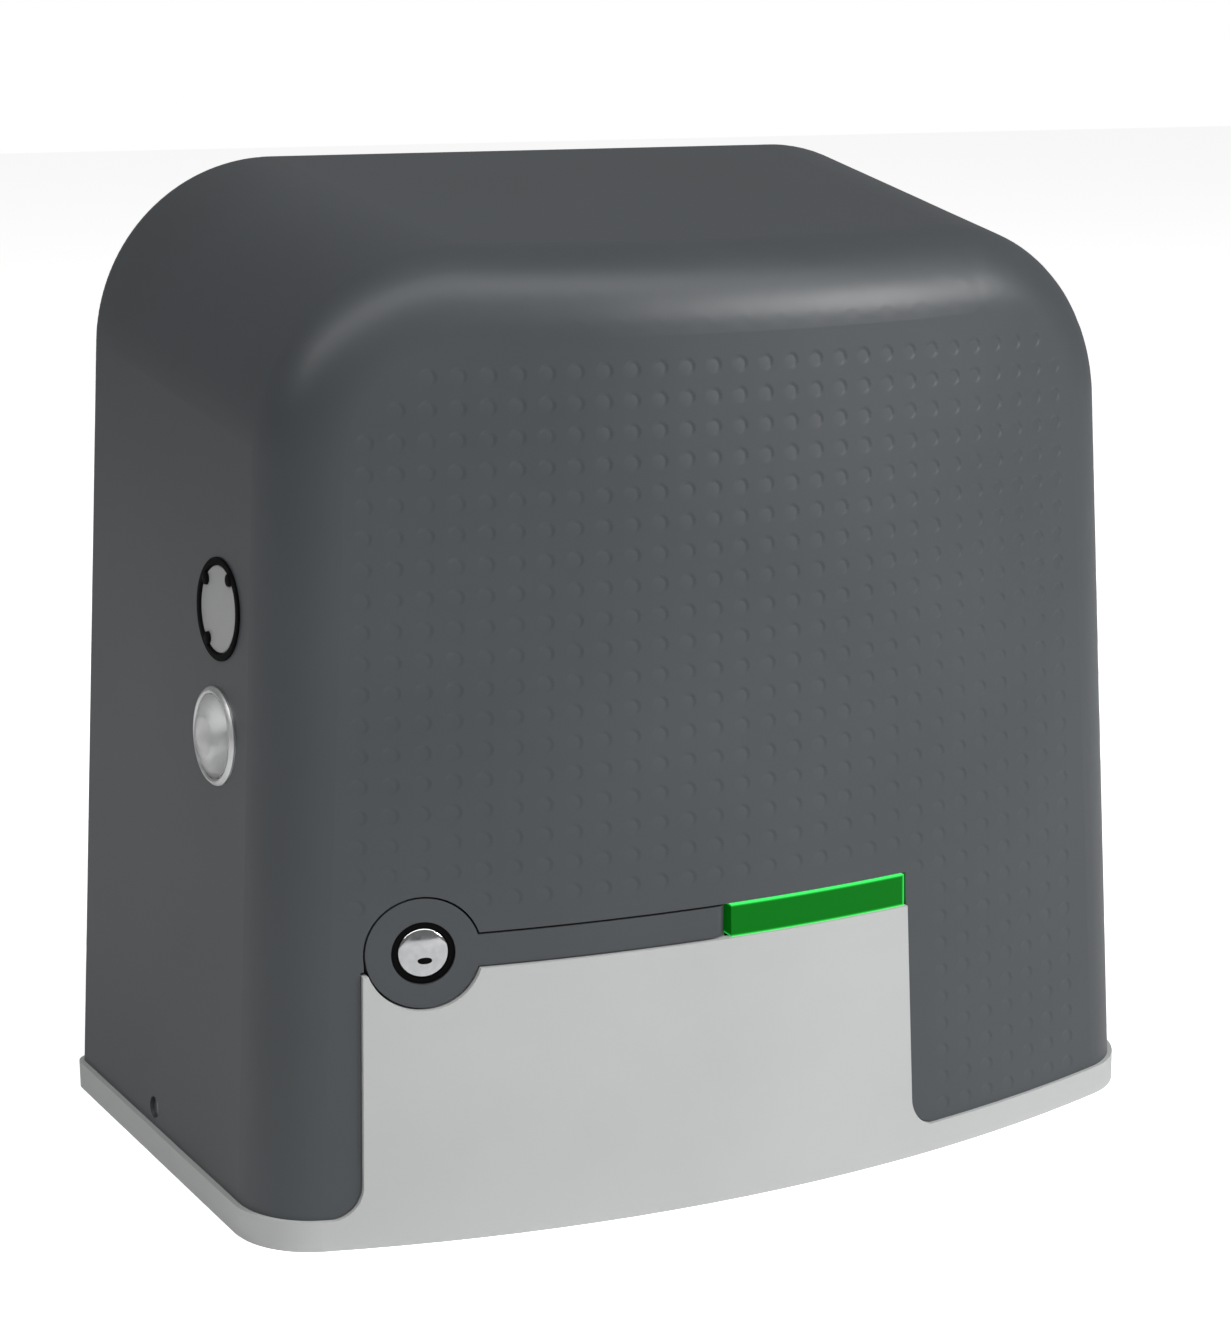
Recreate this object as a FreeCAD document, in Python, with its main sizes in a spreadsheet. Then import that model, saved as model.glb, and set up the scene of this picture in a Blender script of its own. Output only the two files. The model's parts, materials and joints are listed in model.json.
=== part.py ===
import FreeCAD, Part
import math
import os
import Sketcher
from FreeCAD import Placement, Rotation, Vector

# Sliding gate motor.  Millimetres, +Z up, front towards -Y, rack pinion towards +Y.
# The origin is the middle of the whole machine, at the level of the foundation.

doc = FreeCAD.newDocument("sliding_gate_motor")
sizes = doc.addObject("Spreadsheet::Sheet", "sizes")

DRIVING_SIZES = [
    # whole machine
    ("base_width", 330), ("overall_depth", 212), ("body_depth", 174.5), ("overall_height", 301),
    # moulded body: drafts in degrees, radii in mm
    ("lip", 1.2), ("rim_height", 9), ("wall", 3), ("side_draft", 3.6), ("front_draft", 2.44),
    ("plan_taper", 5.47), ("top_slope", 8), ("bow_radius", 457), ("shoulder_round", 59),
    ("front_round", 25.6), ("back_round", 4.3), ("leg_round", 10),
    # front panel and the row of lever and light above it
    ("panel_left", -121.8), ("panel_right", 53.4), ("panel_top", 81), ("panel_wall", 3),
    ("row_bottom", 81.5), ("row_top", 90.7), ("row_gap", 0.6), ("light_right", 50.4),
    ("light_depth", 3), ("head_across", -102.4), ("head_height", 86.4), ("head_radius", 16),
    # release lever
    ("pivot_across", -15), ("pivot_depth", 4.6), ("knuckle_radius", 4.3), ("pin_radius", 1.5),
    ("lever_thick", 5), ("finger_reach", 6), ("finger_tip", 2), ("release_stroke", 4),
    # lock
    ("lock_radius", 7.4), ("barrel_radius", 9.2), ("boss_radius", 11), ("lock_depth", 26),
    # gear train
    ("axis_height", 86), ("wheel_depth", 24), ("worm_module", 2), ("wheel_teeth", 36),
    ("worm_radius", 9), ("wheel_width", 16), ("pinion_module", 4), ("pinion_teeth", 15),
    ("pinion_width", 24), ("pinion_start", 74), ("shaft_radius", 12.5), ("rod_radius", 4),
    # motor
    ("can_radius", 34), ("can_bottom", 136), ("can_height", 100),
    # openings in the floor of the base
    ("floor_thick", 5), ("slot_across", 110), ("slot_front", -68), ("slot_back", 48),
    ("slot_radius", 4.5), ("slot_length", 20), ("cable_radius", 16),
]

for row, (alias, value) in enumerate(DRIVING_SIZES, start=1):
    sizes.set("A%d" % row, alias.replace("_", " "))
    sizes.set("B%d" % row, str(value))
    sizes.setAlias("B%d" % row, alias)
doc.recompute()

PARTS = []


def value(text):
    """number that an expression on the sheet gives"""
    result = sizes.evalExpression(str(text))
    return float(getattr(result, "Value", result))


# ---------------------------------------------------------------- sketches and bodies

def part(feature, name):
    """gives a finished sub-part its name and keeps it for the checks at the end"""
    feature.Label = name
    PARTS.append(feature)
    return feature


def new_body(name):
    return part(doc.addObject("PartDesign::Body", "Body"), name)


def sketch_on(body, role, offset=None):
    """empty sketch on one of the body's own origin planes"""
    sketch = body.newObject("Sketcher::SketchObject", "Sketch")
    plane = next(item for item in body.Origin.OriginFeatures if item.Role == role)
    sketch.AttachmentSupport = [(plane, "")]
    sketch.MapMode = "FlatFace"
    if offset is not None:
        sketch.AttachmentOffset = offset
    return sketch


def bind_point(sketch, geometry, point, across, up):
    """binds a point of a sketch to two expressions"""
    for kind, text, axis in (("DistanceX", across, -2), ("DistanceY", up, -1)):
        number = value(text)
        if abs(number) < 1e-9:
            sketch.addConstraint(Sketcher.Constraint("PointOnObject", geometry, point, axis))
        else:
            row = sketch.addConstraint(Sketcher.Constraint(kind, -1, 1, geometry, point, number))
            sketch.setExpression("Constraints[%d]" % row, str(text))


def add_polygon(sketch, corners):
    """closed polygon whose corners are pairs of expressions"""
    first = sketch.GeometryCount
    points = [Vector(value(across), value(up), 0) for across, up in corners]
    for index, start in enumerate(points):
        sketch.addGeometry(Part.LineSegment(start, points[(index + 1) % len(points)]), False)
    for index in range(len(points)):
        following = first + (index + 1) % len(points)
        sketch.addConstraint(Sketcher.Constraint("Coincident", first + index, 2, following, 1))
    for index, (across, up) in enumerate(corners):
        bind_point(sketch, first + index, 1, across, up)


def add_rectangle(sketch, left, right, low, high):
    add_polygon(sketch, [(left, low), (right, low), (right, high), (left, high)])


def add_circle(sketch, across, up, radius):
    number = sketch.addGeometry(Part.Circle(Vector(value(across), value(up), 0),
                                            Vector(0, 0, 1), value(radius)), False)
    row = sketch.addConstraint(Sketcher.Constraint("Radius", number, value(radius)))
    sketch.setExpression("Constraints[%d]" % row, str(radius))
    bind_point(sketch, number, 3, across, up)


def add_path(sketch, pieces):
    """closed outline of lines (two points) and arcs (three points)"""
    for points in pieces:
        points = [Vector(across, up, 0) for across, up in points]
        shape = Part.LineSegment(*points) if len(points) == 2 else Part.Arc(*points)
        sketch.addGeometry(shape, False)
    for index in range(len(pieces)):
        following = (index + 1) % len(pieces)
        same_turn = 2
        if len(pieces[index]) == 3:
            same_turn = end_point(sketch, index, pieces[index][-1])
        other = 1
        if len(pieces[following]) == 3:
            other = end_point(sketch, following, pieces[following][0])
        sketch.addConstraint(Sketcher.Constraint("Coincident", index, same_turn, following, other))


def end_point(sketch, index, place):
    """which end of an arc lies at a place, because arcs always run anticlockwise"""
    arc = sketch.Geometry[index]
    near_start = (arc.StartPoint - Vector(place[0], place[1], 0)).Length
    near_end = (arc.EndPoint - Vector(place[0], place[1], 0)).Length
    return 1 if near_start < near_end else 2


def pad(body, sketch, length, reverse=False, both=False):
    feature = body.newObject("PartDesign::Pad", "Pad")
    feature.Profile = sketch
    feature.setExpression("Length", str(length))
    feature.Reversed = reverse
    if both:
        feature.SideType = "Symmetric"
    return finish(body, feature, grows=True)


def pocket(body, sketch, length=None, reverse=False, both=False):
    """cuts a sketch out of the body, through everything when no length is given"""
    feature = body.newObject("PartDesign::Pocket", "Pocket")
    feature.Profile = sketch
    feature.Reversed = reverse
    if both:
        feature.SideType = "Symmetric"
    if length is None:
        feature.Type = "ThroughAll"
    else:
        feature.setExpression("Length", str(length))
    return finish(body, feature, grows=False)


def finish(body, feature, grows=None):
    """recomputes and makes sure that the last feature did what it is for"""
    before = feature.BaseFeature.Shape.Volume if feature.BaseFeature else 0.0
    doc.recompute()
    body.Tip = feature
    if feature.Shape.isNull() or not feature.isValid():
        raise RuntimeError("%s of %s failed" % (feature.Name, body.Label))
    change = feature.Shape.Volume - before
    if (grows is True and change <= 0) or (grows is False and change >= 0):
        raise RuntimeError("%s of %s changes nothing" % (feature.Name, body.Label))
    return feature


def fillet(body, base, edges, radius):
    feature = body.newObject("PartDesign::Fillet", "Fillet")
    feature.Base = (base, edges)
    feature.setExpression("Radius", str(radius))
    return finish(body, feature)


def edges_where(shape, test):
    """names of the edges whose middle point and direction pass a test"""
    names = []
    for index, edge in enumerate(shape.Edges, start=1):
        middle = edge.valueAt((edge.FirstParameter + edge.LastParameter) / 2)
        direction = edge.tangentAt((edge.FirstParameter + edge.LastParameter) / 2)
        if test(middle, direction, edge):
            names.append("Edge%d" % index)
    return names


# ---------------------------------------------------------------- primitives

TURNS = {"z": Rotation(), "y": Rotation(Vector(1, 0, 0), -90), "x": Rotation(Vector(0, 1, 0), 90)}


def put(feature, at, turn):
    feature.Placement = Placement(Vector(*[value(text) for text in at]), turn)
    for letter, text in zip("xyz", at):
        feature.setExpression("Placement.Base." + letter, str(text))
    return feature


def cylinder(radius, length, at, along="z", turn=None):
    feature = doc.addObject("Part::Cylinder", "Cylinder")
    feature.setExpression("Radius", str(radius))
    feature.setExpression("Height", str(length))
    return put(feature, at, turn or TURNS[along])


def cone(radius, radius_end, length, at, along="z"):
    feature = doc.addObject("Part::Cone", "Cone")
    feature.setExpression("Radius1", str(radius))
    feature.setExpression("Radius2", str(radius_end))
    feature.setExpression("Height", str(length))
    return put(feature, at, TURNS[along])


def box(length, width, height, at, turn=None):
    feature = doc.addObject("Part::Box", "Box")
    for name, text in (("Length", length), ("Width", width), ("Height", height)):
        feature.setExpression(name, str(text))
    return put(feature, at, turn or Rotation())


def torus(ring, tube, at, along="z"):
    feature = doc.addObject("Part::Torus", "Torus")
    feature.setExpression("Radius1", str(ring))
    feature.setExpression("Radius2", str(tube))
    return put(feature, at, TURNS[along])


def fuse(*shapes):
    feature = doc.addObject("Part::MultiFuse", "Fuse")
    feature.Shapes = list(shapes)
    return feature


def cut(base, *tools):
    feature = doc.addObject("Part::Cut", "Cut")
    feature.Base = base
    feature.Tool = tools[0] if len(tools) == 1 else fuse(*tools)
    return feature


def common(first, second):
    feature = doc.addObject("Part::Common", "Common")
    feature.Base = first
    feature.Tool = second
    return feature


def group(*shapes):
    """several separate solids in one node"""
    feature = doc.addObject("Part::Compound", "Group")
    feature.Links = list(shapes)
    return feature


def solid(shape, name):
    """sub-part whose shape comes from Part's own functions"""
    feature = doc.addObject("Part::Feature", "Solid")
    feature.Shape = shape
    return part(feature, name)


def turned(points, at, along="y"):
    """solid of revolution: points are (distance along the axis, radius)"""
    return turned_at(points, Placement(Vector(*at), TURNS[along]))


def turned_at(points, place):
    corners = [Vector(radius, 0, along_axis) for along_axis, radius in points]
    wire = Part.makePolygon(corners + corners[:1])
    feature = doc.addObject("Part::Feature", "Turned")
    feature.Shape = Part.Face(wire).revolve(Vector(0, 0, 0), Vector(0, 0, 1), 360)
    feature.Placement = place
    return feature


def ring(outer, inner, start, end):
    """profile of a plain ring for turned()"""
    return [(start, inner), (start, outer), (end, outer), (end, inner)]


# ---------------------------------------------------------------- places shared by several pieces

LENS_DEPTH = -37.5
PLUG_HEIGHT = 179.4
LENS_HEIGHT = 142.3
SCREW_DEPTH = 2.5
SCREW_HEIGHT = 14.7
COVER_SCREW_RADIUS = 2.4
LEVELLING = ((140, 30), (128, -50))
LEVELLING_RADIUS = 5
FLANGE_ACROSS = 50
FLANGE_SCREWS = (8, 46)
FLANGE_RADIUS = 4
CABLE_PLACE = (-95, -15)
TOROID = (98, 2)

# ---------------------------------------------------------------- the moulded body's form

FRONT = "(-sizes.overall_depth / 2)"
BASE_BACK = "(sizes.body_depth - sizes.overall_depth / 2)"
COVER_BACK = "(sizes.body_depth - sizes.overall_depth / 2 - sizes.lip)"
BEYOND_FRONT = "(-sizes.overall_depth / 2 - 12)"
BOW_AXIS = "(-sizes.overall_depth / 2 + sizes.lip + sizes.bow_radius / cos(sizes.front_draft))"


def half_width(outset, height, depth):
    """half width of the body at a height and a depth, as an expression"""
    return ("(sizes.base_width / 2 - sizes.lip + (%s) - tan(sizes.side_draft) * (%s)"
            " - tan(sizes.plan_taper) * (%s - (%s)))" % (outset, height, COVER_BACK, depth))


def bow_plane():
    """place of a sketch that looks down the leaning axis of the bowed front"""
    return Placement(Vector(0, value(BOW_AXIS), 0), Rotation(Vector(1, 0, 0), -value("sizes.front_draft")))


def bow(inset):
    """solid cylinder whose wall is the bowed front, moved inwards by an inset"""
    lean = Rotation(Vector(1, 0, 0), -value("sizes.front_draft"))
    low = -20
    axis = "%s + tan(sizes.front_draft) * (%d)" % (BOW_AXIS, low)
    return cylinder("sizes.bow_radius - (%s)" % inset, 400, (0, axis, low), turn=lean)


def front_face(across, height):
    """where the bowed front lies at a place across and a height"""
    radius = value("sizes.bow_radius")
    lean = math.radians(value("sizes.front_draft"))
    return value(BOW_AXIS) + height * math.tan(lean) - math.sqrt(radius ** 2 - across ** 2) / math.cos(lean)


def side_place(depth, height, inset=0.0):
    """place on the left wall: its Z points out of the wall and its X runs along it"""
    across = -value(half_width(0, height, depth))
    draft = math.tan(math.radians(value("sizes.side_draft")))
    taper = math.tan(math.radians(value("sizes.plan_taper")))
    outwards = Vector(-1, -taper, draft).normalize()
    along = Vector(0, 0, 1).cross(outwards).normalize()
    turn = Rotation(along, outwards.cross(along), outwards, "ZXY")
    return Placement(Vector(across, depth, height) - outwards * inset, turn)


def mirror_place(place):
    """the same place on the right wall"""
    out = place.Rotation.multVec(Vector(0, 0, 1))
    outwards = Vector(-out.x, out.y, out.z)
    along = Vector(0, 0, 1).cross(outwards).normalize()
    return Placement(Vector(-place.Base.x, place.Base.y, place.Base.z),
                     Rotation(along, outwards.cross(along), outwards, "ZXY"))


def front_only(body, inset):
    """cuts away what lies in front of the bowed face"""
    sketch = sketch_on(body, "XY_Plane", bow_plane())
    add_rectangle(sketch, -700, 700, -700, 700)
    add_circle(sketch, 0, 0, "sizes.bow_radius - (%s)" % inset)
    return pocket(body, sketch, both=True)


def cover_form(body):
    """closed outer form of the cover, before it is hollowed"""
    levels = ["sizes.rim_height", "(sizes.overall_height + 20)"]
    sections = []
    for level in levels:
        sketch = sketch_on(body, "XY_Plane", Placement(Vector(0, 0, value(level)), Rotation()))
        sketch.setExpression("AttachmentOffset.Base.z", level)
        back = half_width(0, level, COVER_BACK)
        front = half_width(0, level, BEYOND_FRONT)
        add_polygon(sketch, [("-" + front, BEYOND_FRONT), (front, BEYOND_FRONT),
                             (back, COVER_BACK), ("-" + back, COVER_BACK)])
        sections.append(sketch)
    loft = body.newObject("PartDesign::AdditiveLoft", "Loft")
    loft.Profile = sections[0]
    loft.Sections = [sections[1]]
    loft.Ruled = True
    finish(body, loft, grows=True)

    roof = sketch_on(body, "YZ_Plane")
    over = "(sizes.overall_height + 30)"
    low_front = "(sizes.overall_height - tan(sizes.top_slope) * (%s - %s))" % (COVER_BACK, "(-130)")
    low_back = "(sizes.overall_height - tan(sizes.top_slope) * (%s - %s))" % (COVER_BACK, "(100)")
    add_polygon(roof, [(-130, low_front), (100, low_back), (100, over), (-130, over)])
    pocket(body, roof, both=True)
    form = front_only(body, 0)

    shoulders = edges_where(form.Shape, lambda middle, along, edge: middle.z > 200
                            and abs(middle.x) > 100 and abs(along.y) > 0.8)
    form = fillet(body, form, shoulders, "sizes.shoulder_round")
    front_loop = edges_where(form.Shape, lambda middle, along, edge: middle.z > 12
                             and abs(middle.y - front_face(middle.x, middle.z)) < 0.5)
    form = fillet(body, form, front_loop, "sizes.front_round")
    back_plane = value(COVER_BACK)
    back_loop = edges_where(form.Shape, lambda middle, along, edge: middle.z > 12
                            and abs(middle.y - back_plane) < 0.01)
    return fillet(body, form, back_loop, "sizes.back_round")


def make_cover():
    body = new_body("cover")
    form = cover_form(body)
    bottom = [index for index, face in enumerate(form.Shape.Faces, start=1)
              if abs(face.CenterOfMass.z - value("sizes.rim_height")) < 0.01]
    shell = body.newObject("PartDesign::Thickness", "Thickness")
    shell.Base = (form, ["Face%d" % index for index in bottom])
    shell.setExpression("Value", "sizes.wall")
    shell.Reversed = True
    finish(body, shell, grows=False)

    opening = sketch_on(body, "XZ_Plane")
    low = value("sizes.rim_height") - 1
    side_top = value("sizes.head_height") - 4.4
    head_x, head_z = value("sizes.head_across"), value("sizes.head_height")
    top = value("sizes.row_top + sizes.row_gap")
    left, right, left_top, right_top, left_low, right_low = front_outline(0, low, side_top)
    slant = (right_top[0] - right[2][0]) / (right_top[1] - right[2][1])
    right_top = (right[2][0] + slant * (top - right[2][1]), top)
    add_path(opening, [[left_low, left[0]], left, [left[2], left_top], [left_top, (head_x, side_top)],
                       [(head_x, side_top), (head_x, top)], [(head_x, top), right_top],
                       [right_top, right[2]], right[::-1], [right[0], right_low], [right_low, left_low]])
    pocket(body, opening, reverse=True)
    head = sketch_on(body, "XZ_Plane")
    add_circle(head, "sizes.head_across", "sizes.head_height", "sizes.head_radius + sizes.row_gap")
    pocket(body, head, reverse=True)
    between = sketch_on(body, "XZ_Plane")
    add_rectangle(between, head_x - 16.5, head_x, 60, head_z)
    pocket(body, between, reverse=True)

    arch = sketch_on(body, "XZ_Plane")
    axis = value("sizes.axis_height")
    reach = 48
    add_path(arch, [
        [(-reach, low), (reach, low)],
        [(reach, low), (reach, axis)],
        [(reach, axis), (0, axis + reach), (-reach, axis)],
        [(-reach, axis), (-reach, low)],
    ])
    pocket(body, arch)

    for depth, height, radius in ((LENS_DEPTH, PLUG_HEIGHT, 13), (LENS_DEPTH, LENS_HEIGHT, 13),
                                  (SCREW_DEPTH, SCREW_HEIGHT, 3.4)):
        hole = sketch_on(body, "XY_Plane", side_place(depth, height))
        add_circle(hole, 0, 0, radius)
        pocket(body, hole, 24, both=True)
    hole = sketch_on(body, "XY_Plane", mirror_place(side_place(SCREW_DEPTH, SCREW_HEIGHT)))
    add_circle(hole, 0, 0, 3.4)
    pocket(body, hole, 24, both=True)


# ---------------------------------------------------------------- base with its front panel

def make_tray():
    """floor and rim of the base, with its slots and screw posts"""
    body = doc.addObject("PartDesign::Body", "Body")
    body.Label = "base tray"
    outline = sketch_on(body, "XY_Plane")
    back = half_width("sizes.lip", 0, COVER_BACK)
    front = half_width("sizes.lip", 0, BEYOND_FRONT)
    add_polygon(outline, [("-" + front, BEYOND_FRONT), (front, BEYOND_FRONT),
                          (back, BASE_BACK), ("-" + back, BASE_BACK)])
    pad(body, outline, "sizes.rim_height")
    block = front_only(body, "-sizes.lip")
    for front_side, radius in ((True, "sizes.front_round + sizes.lip"), (False, "sizes.back_round + sizes.lip")):
        corners = edges_where(block.Shape, lambda middle, along, edge: abs(middle.x) > 140
                              and abs(along.z) > 0.9 and (middle.y < 0) == front_side)
        block = fillet(body, block, corners, radius)

    inner = sketch_on(body, "XY_Plane", Placement(Vector(0, 0, value("sizes.floor_thick")), Rotation()))
    radius = value("sizes.bow_radius - sizes.wall")
    axis = value(BOW_AXIS)
    side = value("sizes.lip + sizes.wall")
    back_y = value(BASE_BACK) - side
    back_x = value(half_width(0, 0, COVER_BACK)) - side
    front_x = value(half_width(0, 0, "(-80)")) - side
    corner_x = front_x - 16
    front_y = axis - math.sqrt(radius ** 2 - corner_x ** 2)
    add_path(inner, [
        [(-corner_x, front_y), (0, axis - radius), (corner_x, front_y)],
        [(corner_x, front_y), (front_x, -72)],
        [(front_x, -72), (back_x, back_y)],
        [(back_x, back_y), (-back_x, back_y)],
        [(-back_x, back_y), (-front_x, -72)],
        [(-front_x, -72), (-corner_x, front_y)],
    ])
    pocket(body, inner, reverse=True)

    posts = sketch_on(body, "XY_Plane")
    post_side = value(half_width(0, SCREW_HEIGHT, SCREW_DEPTH)) - value("sizes.wall") - 1.2
    for sign in (-1, 1):
        near, far = sorted((sign * post_side, sign * (post_side - 12)))
        add_rectangle(posts, near, far, SCREW_DEPTH - 6, SCREW_DEPTH + 6)
    pad(body, posts, SCREW_HEIGHT + 6)

    floor = sketch_on(body, "XY_Plane")
    for sign in (-1, 1):
        for depth in ("sizes.slot_front", "sizes.slot_back"):
            add_slot(floor, sign * value("sizes.slot_across"), value(depth))
        for across, depth in LEVELLING:
            add_circle(floor, sign * across, depth, LEVELLING_RADIUS)
        for depth in FLANGE_SCREWS:
            add_circle(floor, sign * FLANGE_ACROSS, depth, FLANGE_RADIUS)
    add_circle(floor, CABLE_PLACE[0], CABLE_PLACE[1], "sizes.cable_radius")
    add_circle(floor, TOROID[0], TOROID[1], 3)
    pocket(body, floor, SCREW_HEIGHT + 6, reverse=True)
    for place in (side_place(SCREW_DEPTH, SCREW_HEIGHT, 8), mirror_place(side_place(SCREW_DEPTH, SCREW_HEIGHT, 8))):
        hole = sketch_on(body, "XY_Plane", place)
        add_circle(hole, 0, 0, COVER_SCREW_RADIUS)
        pocket(body, hole, 18, both=True)
    return body


def add_slot(sketch, across, depth):
    """slot with round ends, its length along X"""
    reach = value("sizes.slot_length") / 2 - value("sizes.slot_radius")
    radius = value("sizes.slot_radius")
    first = sketch.GeometryCount
    low, high = depth - radius, depth + radius
    sketch.addGeometry(Part.LineSegment(Vector(across - reach, low, 0), Vector(across + reach, low, 0)), False)
    sketch.addGeometry(Part.Arc(Vector(across + reach, low, 0), Vector(across + reach + radius, depth, 0),
                                Vector(across + reach, high, 0)), False)
    sketch.addGeometry(Part.LineSegment(Vector(across + reach, high, 0), Vector(across - reach, high, 0)), False)
    sketch.addGeometry(Part.Arc(Vector(across - reach, high, 0), Vector(across - reach - radius, depth, 0),
                                Vector(across - reach, low, 0)), False)
    for index, ends in enumerate(((2, 1), (2, 1), (2, 1), (2, 1))):
        sketch.addConstraint(Sketcher.Constraint("Coincident", first + index, ends[0],
                                                 first + (index + 1) % 4, ends[1]))


def leg_corner(edge, sign, radius, grow):
    """arc round the lower inner corner of a leg of the cover, from the rim up to the leg's edge"""
    centre_x, centre_z = edge + sign * radius, value("sizes.rim_height") + radius
    reach = radius + grow
    slant = reach * math.sqrt(0.5)
    return [(centre_x, centre_z - reach), (centre_x - sign * slant, centre_z - slant),
            (centre_x - sign * reach, centre_z)]


def front_outline(gap, low, high):
    """outline between the cover's legs: gap 0 gives the opening, a larger gap the panel inside it"""
    lean = math.tan(math.radians(value("sizes.side_draft"))) / 2
    radius = value("sizes.leg_round")
    left = leg_corner(value("sizes.panel_left"), -1, radius, gap)
    right = leg_corner(value("sizes.panel_right"), 1, radius, gap)
    rise = high - left[2][1]
    left_top = (left[2][0] + lean * rise, high)
    right_top = (right[2][0] - lean * rise, high)
    return left, right, left_top, right_top, (left[0][0], low), (right[0][0], low)


def make_base():
    tray = make_tray()
    body = doc.addObject("PartDesign::Body", "Body")
    body.Label = "panel block"
    sketch = sketch_on(body, "XZ_Plane")
    left, right, left_top, right_top, left_low, right_low = front_outline(
        value("sizes.row_gap / 2"), 1, value("sizes.panel_top"))
    add_path(sketch, [[left_low, left[0]], left, [left[2], left_top], [left_top, right_top],
                      [right_top, right[2]], right[::-1], [right[0], right_low], [right_low, left_low]])
    pad(body, sketch, "-(%s) + 10" % FRONT)
    boss = cylinder("sizes.pin_radius + 3", "sizes.panel_top - 50", (PIVOT_X, PIVOT_Y, 50))
    web = box(6, 6, "sizes.panel_top - 50", (PIVOT_X - 3, PIVOT_Y - 6, 50))
    hole = cylinder("sizes.pin_radius", 40, (PIVOT_X, PIVOT_Y, PIN_LOW))
    head = cylinder("sizes.head_radius + sizes.row_gap", 80,
                    ("sizes.head_across", FRONT + " - 5", "sizes.head_height"), "y")
    face = cut(common(body, bow("-sizes.lip")), bow("sizes.panel_wall - sizes.lip"))
    boss = common(fuse(boss, web), bow("0.5"))
    part(cut(fuse(tray, face, boss), hole, head), "base_housing")


LOCK_PLACE_X = value("sizes.head_across")
PIVOT_X = value("sizes.pivot_across")
PIVOT_Y = front_face(PIVOT_X, value("sizes.axis_height")) + value("sizes.pivot_depth")
PIN_LOW = 62
make_base()
make_cover()


# ---------------------------------------------------------------- release lever, lock and light

ROW_LOW = "sizes.row_bottom"
ROW_TALL = "sizes.row_top - sizes.row_bottom"
LOCK_PLACE_Z = value("sizes.head_height")
LOCK_PLACE_Y = front_face(LOCK_PLACE_X, LOCK_PLACE_Z)
INWARDS = Vector(-LOCK_PLACE_X, math.sqrt(value("sizes.bow_radius") ** 2 - LOCK_PLACE_X ** 2), 0).normalize()
LOCK_TURN = Rotation(Vector(INWARDS.y, -INWARDS.x, 0), Vector(0, 0, -1), INWARDS, "ZXY")


def lock_place(depth):
    """place on the lock's axis, its Z into the machine"""
    return Placement(Vector(LOCK_PLACE_X, LOCK_PLACE_Y, LOCK_PLACE_Z) + INWARDS * depth, LOCK_TURN)


def along_lock(profile):
    return turned_at(profile, lock_place(0))


def make_lever():
    deep = 60
    start = value(FRONT) - 10
    head = cylinder("sizes.head_radius", deep, ("sizes.head_across", start, "sizes.head_height"), "y")
    arm = box("sizes.pivot_across - sizes.head_across", deep, ROW_TALL,
              ("sizes.head_across", start, ROW_LOW))
    plate = cut(common(fuse(head, arm), bow(0)), bow("sizes.lever_thick"))
    knuckle = cylinder("sizes.knuckle_radius", ROW_TALL, (PIVOT_X, PIVOT_Y, ROW_LOW))
    half_wide = 1.2
    diagonal = Rotation(Vector(0, 0, 1), 45)
    corner = Vector(PIVOT_X, PIVOT_Y, 0) + diagonal.multVec(Vector(0, -half_wide, 0))
    finger = box("sizes.finger_reach", 2 * half_wide, 7, (corner.x, corner.y, "sizes.axis_height - 3.5"), diagonal)
    tip = Vector(PIVOT_X, PIVOT_Y, 0) + diagonal.multVec(Vector(value("sizes.finger_reach"), 0, 0))
    round_tip = cylinder("sizes.finger_tip", 7, (tip.x, tip.y, "sizes.axis_height - 3.5"))
    boss = along_lock(ring(value("sizes.boss_radius"), value("sizes.barrel_radius"), 1, value("sizes.lock_depth")))
    bore = along_lock([(-5, 0), (-5, value("sizes.barrel_radius")), (40, value("sizes.barrel_radius")), (40, 0)])
    pin_hole = cylinder("sizes.pin_radius + 0.06", 20, (PIVOT_X, PIVOT_Y, "sizes.row_bottom - 5"))
    part(cut(fuse(plate, knuckle, finger, round_tip, boss), bore, pin_hole), "release_lever")


def make_lock():
    radius = value("sizes.lock_radius")
    barrel = value("sizes.barrel_radius")
    depth = value("sizes.lock_depth")
    part(along_lock(ring(barrel, radius + 0.08, 0.6, depth)), "lock_barrel")
    plug = along_lock([(0.4, 0), (0.4, radius - 1), (1.2, radius), (depth + 1, radius), (depth + 1, 3),
                       (depth + 6, 3), (depth + 6, 0)])
    part(plug, "lock_plug")
    place = lock_place(depth + 2)
    reach = 14
    blade = doc.addObject("Part::Box", "Box")
    blade.Length, blade.Width, blade.Height = reach, 7, 2
    blade.Placement = place.multiply(Placement(Vector(0, -3.5, 0), Rotation()))
    hub = turned_at(ring(6, 3, 0, 2), place)
    hole = turned_at([(-1, 0), (-1, 3), (3, 3), (3, 0)], place)
    part(cut(fuse(blade, hub), hole), "lock_cam")


def make_catch():
    """post of the base that the lock's cam turns down behind"""
    top = value("sizes.head_height - sizes.boss_radius") - 0.8
    place = lock_place(value("sizes.lock_depth") + 1.6 - 4)
    turn = Rotation(Vector(0, 0, 1), math.degrees(math.atan2(-INWARDS.x, INWARDS.y)))
    corner = place.Base + turn.multVec(Vector(-5, 0, 0))
    floor = value("sizes.floor_thick")
    post = box(10, 4, top - floor, (corner.x, corner.y, floor), turn)
    foot_corner = place.Base + turn.multVec(Vector(-9, -2, 0))
    foot = box(18, 12, 3, (foot_corner.x, foot_corner.y, floor), turn)
    part(fuse(post, foot), "lock_catch")


def make_light():
    back = -95.2
    left = PIVOT_X + value("sizes.knuckle_radius") + 0.5
    block = box("sizes.light_right - (%s)" % left, back - value(FRONT) + 10, "sizes.row_top - sizes.panel_top",
                (left, value(FRONT) - 10, "sizes.panel_top"))
    part(common(block, bow(0)), "light_bar")
    part(box(52, 1.6, 8, (left + 4, back, 82)), "light_board")


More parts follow.
